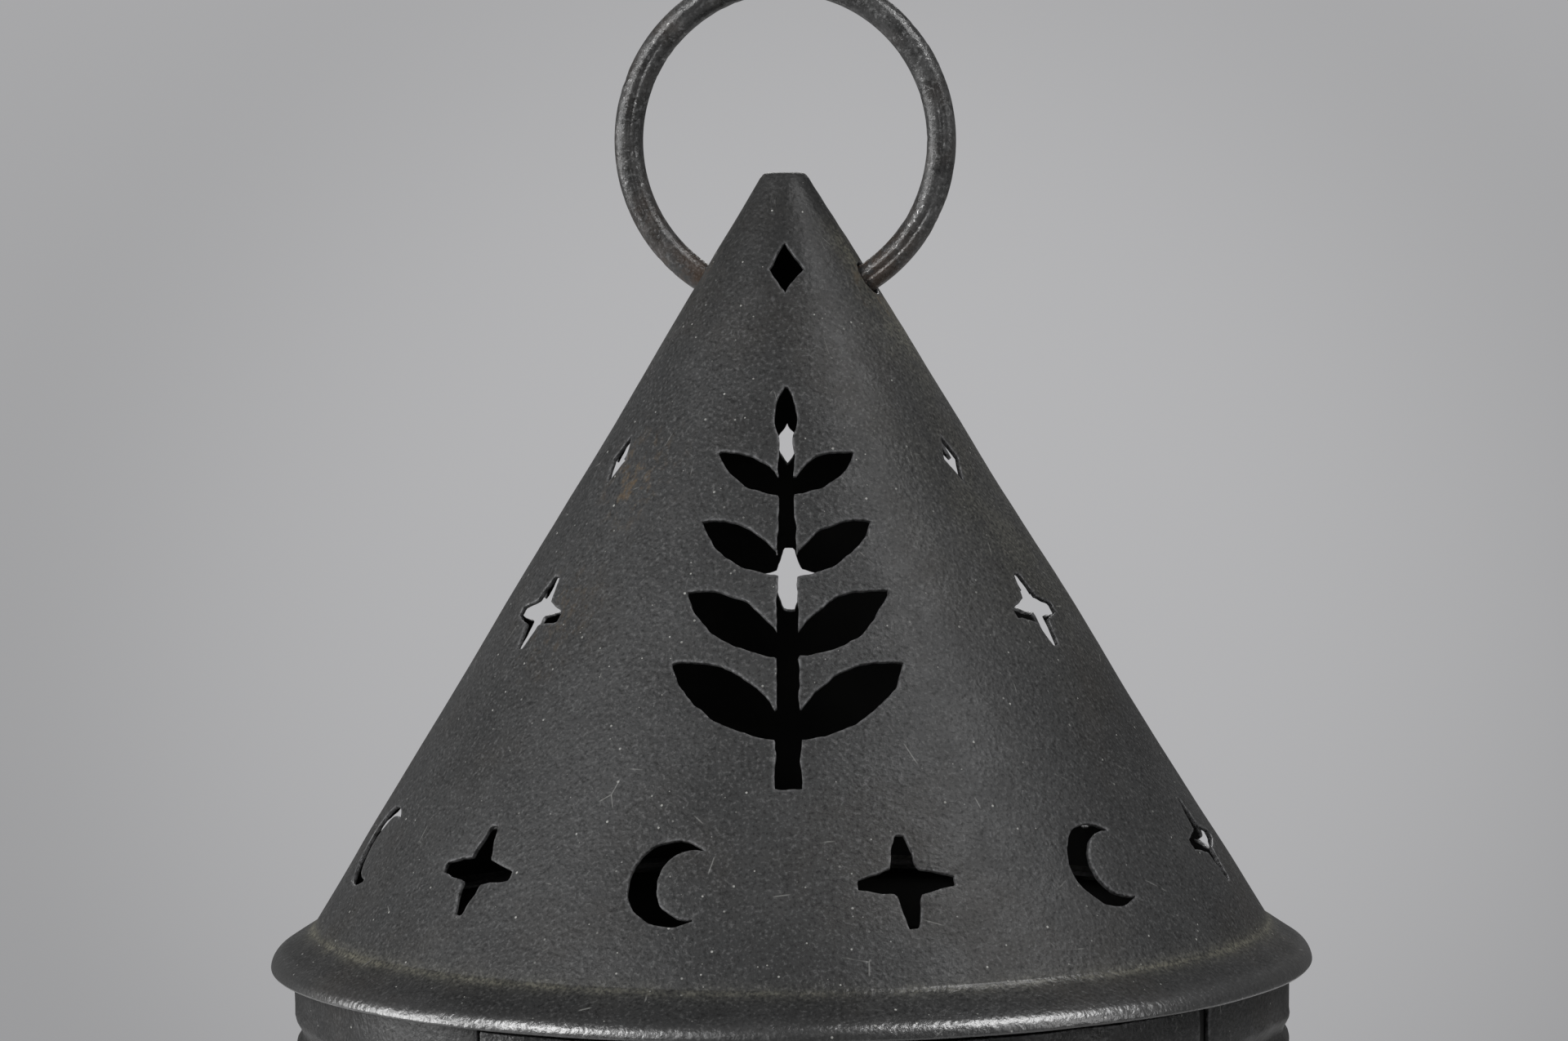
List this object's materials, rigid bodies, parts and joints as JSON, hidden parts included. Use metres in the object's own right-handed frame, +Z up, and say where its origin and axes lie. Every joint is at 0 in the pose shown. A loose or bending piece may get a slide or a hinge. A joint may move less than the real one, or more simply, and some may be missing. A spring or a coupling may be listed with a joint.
{
  "type": "punched tin lantern",
  "caption": "Round sheet-metal candle lantern with a pierced conical roof, a beaded eave, a forged carrying ring, a hinged curved door with a turn button, and a candle socket in a drip pan.",
  "frame": {"origin": "on the floor under the lantern's axis, at the bottom of the base bead", "axes": "+Z up along the axis, the door faces -Y and its hinges are towards +X"},
  "size_m": [0.1814, 0.1814, 0.4061],
  "materials": {
    "roof_sheet": "matte blackened sheet, fine grain",
    "rim_sheet": "blackened sheet, worn bright on the lip",
    "body_sheet": "matte blackened sheet",
    "door_sheet": "rough blackened sheet",
    "forged_ring": "forged and pitted, worn and rusted at the ends",
    "inner_tin": "sooty tin plate",
    "iron_fittings": "blackened iron, worn on the edges"
  },
  "bodies": {
    "lantern": {"roof_cone": "roof_sheet", "roof_rim": "rim_sheet", "roof_collar": "inner_tin", "roof_seam_rivets": "iron_fittings", "body_shell": "body_sheet", "body_seam_rivets": "iron_fittings", "base_rim": "rim_sheet", "floor_pan": "inner_tin", "drip_pan": "inner_tin", "candle_socket": "inner_tin", "socket_rivets": "iron_fittings", "door_stop": "inner_tin", "door_stop_rivets": "iron_fittings", "upper_hinge_body_leaf": "iron_fittings", "lower_hinge_body_leaf": "iron_fittings", "upper_hinge_pin": "iron_fittings", "lower_hinge_pin": "iron_fittings", "hinge_body_rivets": "iron_fittings", "turn_button_washer": "iron_fittings", "turn_button_rivet": "iron_fittings"},
    "door": {"door_panel": "door_sheet", "upper_hinge_door_leaf": "iron_fittings", "lower_hinge_door_leaf": "iron_fittings", "hinge_door_rivets": "iron_fittings", "door_knob": "iron_fittings"},
    "catch": {"turn_button": "iron_fittings"},
    "ring": {"carrying_ring": "forged_ring"}
  },
  "joints": [
    {"name": "door_swing", "type": "hinge", "parent": "lantern", "child": "door", "pos_m": [0.07013, -0.05479, 0], "axis": [0, 0, 1], "range_deg": [0, 115]},
    {"name": "catch_turn", "type": "hinge", "parent": "lantern", "child": "catch", "pos_m": [-0.05915, -0.06325, 0.11981], "axis": [-0.683, -0.7304, 0], "range_deg": [0, 90]},
    {"name": "ring_swing", "type": "hinge", "parent": "lantern", "child": "ring", "pos_m": [0, 0, 0.35201], "axis": [0.9744, -0.225, 0], "range_deg": [-40, 40]}
  ]
}
